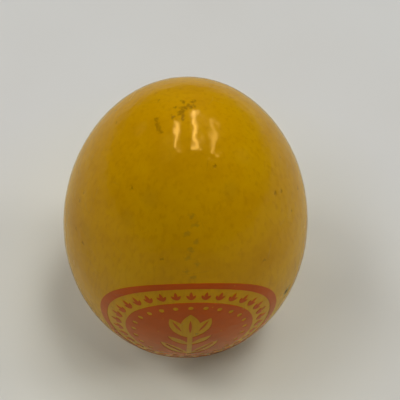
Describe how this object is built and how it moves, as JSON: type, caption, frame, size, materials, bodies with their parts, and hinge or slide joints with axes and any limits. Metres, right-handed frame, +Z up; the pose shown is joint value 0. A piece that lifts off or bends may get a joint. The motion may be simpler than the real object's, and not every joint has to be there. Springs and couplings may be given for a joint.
{
  "type": "painted wooden egg",
  "caption": "Solid turned wooden egg with gloss yellow paint and a round red leaf-and-flower seal printed on its front, standing upright on a small flat at its blunt end.",
  "frame": {"origin": "centre of the flat base at the blunt end", "axes": "+Z up the egg's long axis to the narrow tip, the printed seal faces -Y, +X to the seal's right"},
  "size_m": [0.045, 0.045, 0.063],
  "materials": {
    "wood": "sanded",
    "primer": "matt",
    "enamel": "gloss",
    "seal_ink": "gloss"
  },
  "bodies": {
    "root": {"wood_body": "wood", "primer_coat": "primer", "yellow_enamel": "enamel", "seal_ring": "seal_ink", "seal_border": "seal_ink", "seal_disc": "seal_ink", "seal_veins": "seal_ink"}
  },
  "joints": []
}
